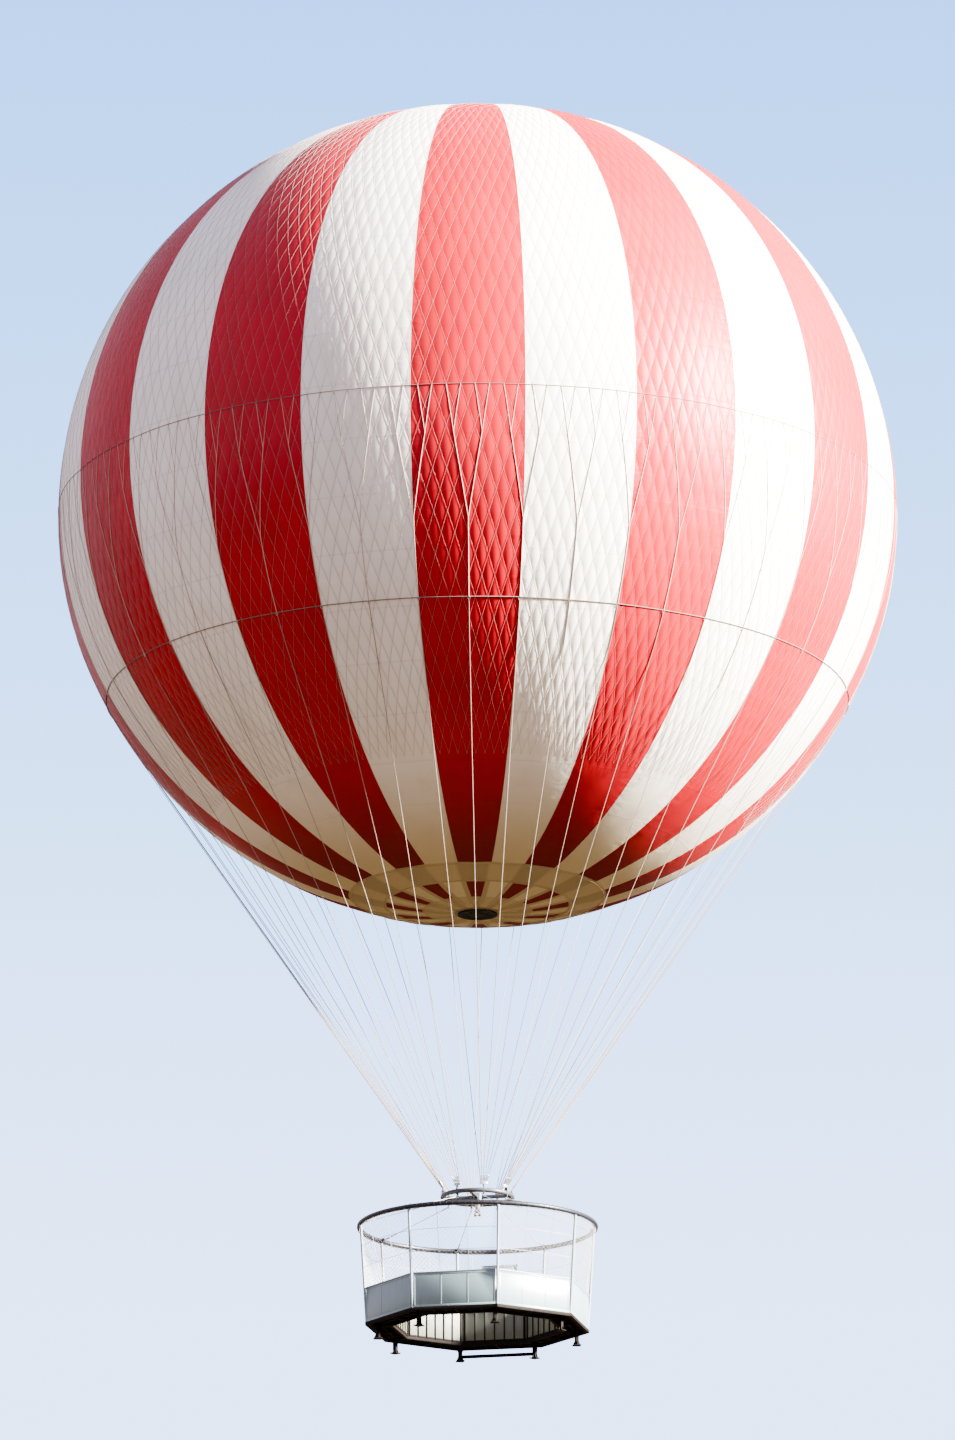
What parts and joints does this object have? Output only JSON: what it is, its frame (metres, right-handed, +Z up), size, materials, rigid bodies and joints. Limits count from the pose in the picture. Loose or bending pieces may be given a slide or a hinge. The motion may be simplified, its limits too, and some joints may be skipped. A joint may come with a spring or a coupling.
{
  "type": "tethered gas balloon",
  "caption": "Tethered passenger gas balloon: round striped envelope, lines in fans to a load ring, slings and a ring-shaped gondola with a boarding gate.",
  "frame": {"origin": "centre of the envelope, where the lift acts", "axes": "+Z up along the balloon's axis, +Y towards the gondola's gate"},
  "size_m": [22.0528, 22.0528, 33.2479],
  "materials": {
    "gore_red": "coated fabric, satin",
    "gore_white": "coated fabric, satin",
    "fabric_beige": "coated fabric, matt",
    "rope": "braided rope",
    "port_cap": "matt",
    "valve_metal": "brushed",
    "dark_steel": "satin paint",
    "swivel_steel": "machined",
    "frame_paint": "satin paint",
    "deck_plate": "dull, slip-resistant",
    "panel_white": "satin paint"
  },
  "bodies": {
    "balloon": {"gore_01_red": "gore_red", "gore_02_white": "gore_white", "gore_03_red": "gore_red", "gore_04_white": "gore_white", "gore_05_red": "gore_red", "gore_06_white": "gore_white", "gore_07_red": "gore_red", "gore_08_white": "gore_white", "gore_09_red": "gore_red", "gore_10_white": "gore_white", "gore_11_red": "gore_red", "gore_12_white": "gore_white", "gore_13_red": "gore_red", "gore_14_white": "gore_white", "gore_15_red": "gore_red", "gore_16_white": "gore_white", "gore_17_red": "gore_red", "gore_18_white": "gore_white", "gore_19_red": "gore_red", "gore_20_white": "gore_white", "gore_21_red": "gore_red", "gore_22_white": "gore_white", "gore_23_red": "gore_red", "gore_24_white": "gore_white", "bottom_patch": "fabric_beige", "bottom_collar": "fabric_beige", "gas_port": "port_cap", "crown_patch": "gore_white", "net_hem_rope": "rope", "valve_ring": "valve_metal", "suspension_fan_1": "rope", "suspension_fan_2": "rope", "suspension_fan_3": "rope", "suspension_fan_4": "rope", "suspension_fan_5": "rope", "suspension_fan_6": "rope", "suspension_fan_7": "rope", "suspension_fan_8": "rope", "load_ring": "dark_steel", "side_1": "panel_white", "side_2": "panel_white", "side_3": "panel_white", "side_4": "panel_white", "side_5_gate_frame": "panel_white", "side_6": "panel_white", "side_7": "panel_white", "side_8": "panel_white", "top_ring_with_slings": "dark_steel", "floor_frame": "frame_paint", "deck": "deck_plate", "inner_wall": "panel_white"},
    "valve": {"valve_lid": "valve_metal"},
    "swivel": {"tether_swivel": "swivel_steel"},
    "gate": {"gate": "panel_white"}
  },
  "joints": [
    {"name": "valve_slide", "type": "slide", "parent": "balloon", "child": "valve", "axis": [0, 0, 1], "range_m": [-0.08, 0], "stiffness_N_per_m": 3000, "springref_m": 0.05},
    {"name": "swivel_turn", "type": "hinge", "parent": "balloon", "child": "swivel", "pos_m": [0, 0, -18.49], "axis": [0, 0, 1], "continuous": true},
    {"name": "gate_hinge", "type": "hinge", "parent": "balloon", "child": "gate", "pos_m": [0.4225, 2.712, -20.7], "axis": [0, 0, -1], "range_deg": [0, 95]}
  ]
}
